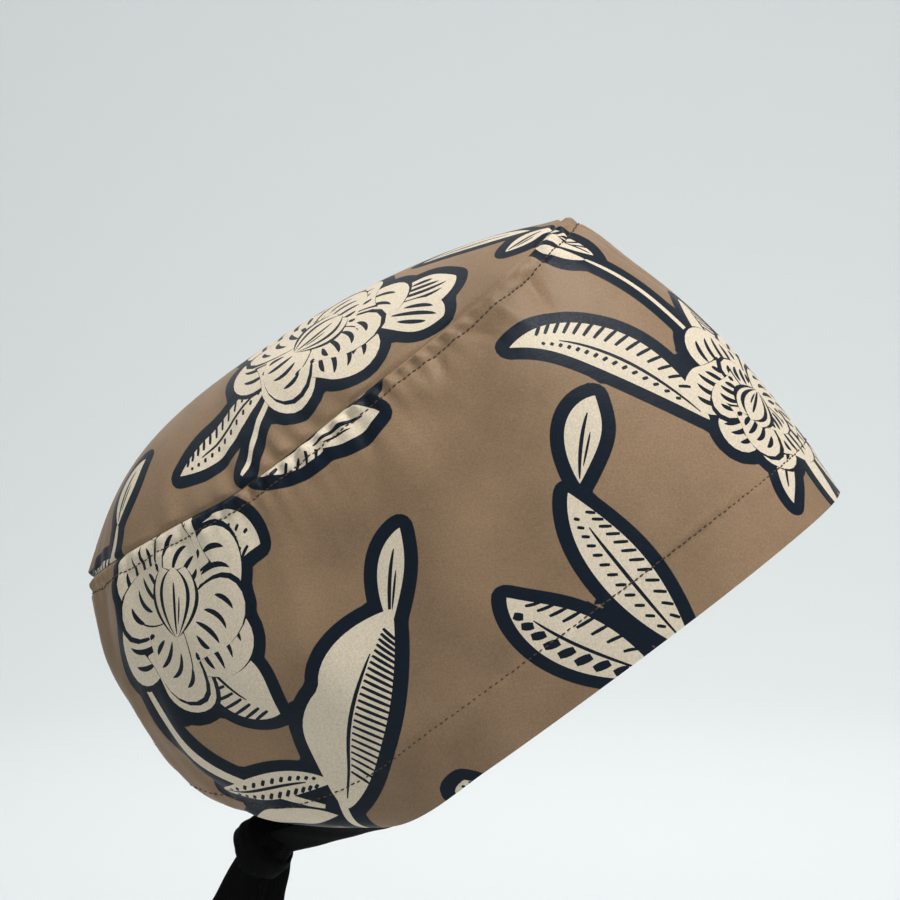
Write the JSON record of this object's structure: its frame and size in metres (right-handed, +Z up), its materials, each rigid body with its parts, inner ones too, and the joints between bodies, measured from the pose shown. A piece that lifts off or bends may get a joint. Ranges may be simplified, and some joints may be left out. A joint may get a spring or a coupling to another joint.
{
  "type": "surgical scrub cap",
  "caption": "Domed fabric scrub cap with a deep side band, a turned-up hem and black tapes knotted below the nape, in its worn form.",
  "frame": {"origin": "centre of the head opening, in the plane of the hem", "axes": "+Z up as the cap is worn, the wearer faces -Y, +X is the wearer's left"},
  "size_m": [0.1573, 0.2783, 0.3562],
  "materials": {
    "printed_sateen": "taupe cotton sateen with a cream floral print outlined in navy, soft sheen, fine weave",
    "black_tape": "black twill tape, matt, with a fine slanted rib",
    "brown_thread": "dark brown sewing thread"
  },
  "bodies": {
    "root": {"crown_panel": "printed_sateen", "side_band": "printed_sateen", "tape_right": "black_tape", "tape_left": "black_tape", "tie_knot": "black_tape", "tie_tail_right": "black_tape", "tie_tail_left": "black_tape"}
  },
  "joints": []
}
